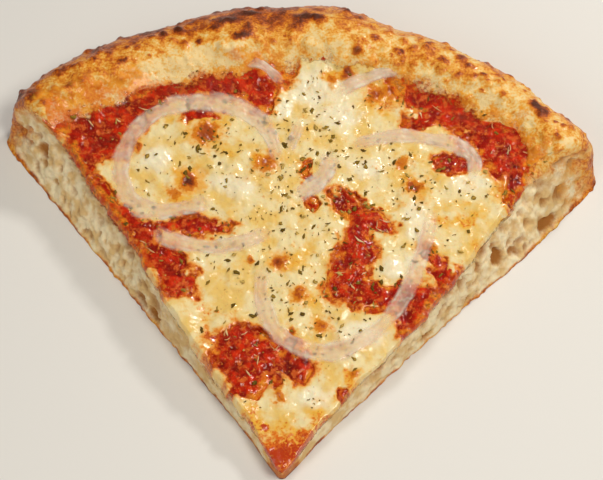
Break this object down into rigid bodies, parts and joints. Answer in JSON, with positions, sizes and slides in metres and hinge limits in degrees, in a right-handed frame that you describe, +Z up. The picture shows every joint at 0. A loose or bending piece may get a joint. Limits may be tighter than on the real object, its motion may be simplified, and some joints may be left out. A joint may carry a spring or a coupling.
{
  "type": "pizza slice",
  "caption": "Thick wedge of pugliese style pizza: airy baked dough with a risen browned rim, tomato sauce, melted mozzarella, sliced white onion and dried oregano.",
  "frame": {"origin": "under the middle of the slice's outline, on the surface that the slice lies on", "axes": "+Z up, -Y from the middle towards the pointed tip, +Y towards the rim, +X to the right seen from the tip"},
  "size_m": [0.205, 0.1684, 0.0273],
  "materials": {
    "baked_dough": "baked bread: cream coloured open crumb at the cuts, golden to dark brown blistered crust on the rim and underneath",
    "tomato_sauce": "wet crushed tomato, deep red, orange where oil has spread",
    "mozzarella": "melted cheese, pale cream with yellow oily patches and small browned spots, satin",
    "white_onion": "baked white onion, translucent pale pinkish cream with fine lengthwise lines"
  },
  "bodies": {
    "root": {"dough": "baked_dough", "tomato_sauce": "tomato_sauce", "mozzarella": "mozzarella", "onion_1": "white_onion", "onion_2": "white_onion", "onion_3": "white_onion", "onion_4": "white_onion", "onion_5": "white_onion", "onion_6": "white_onion", "onion_7": "white_onion", "onion_8": "white_onion"}
  },
  "joints": []
}
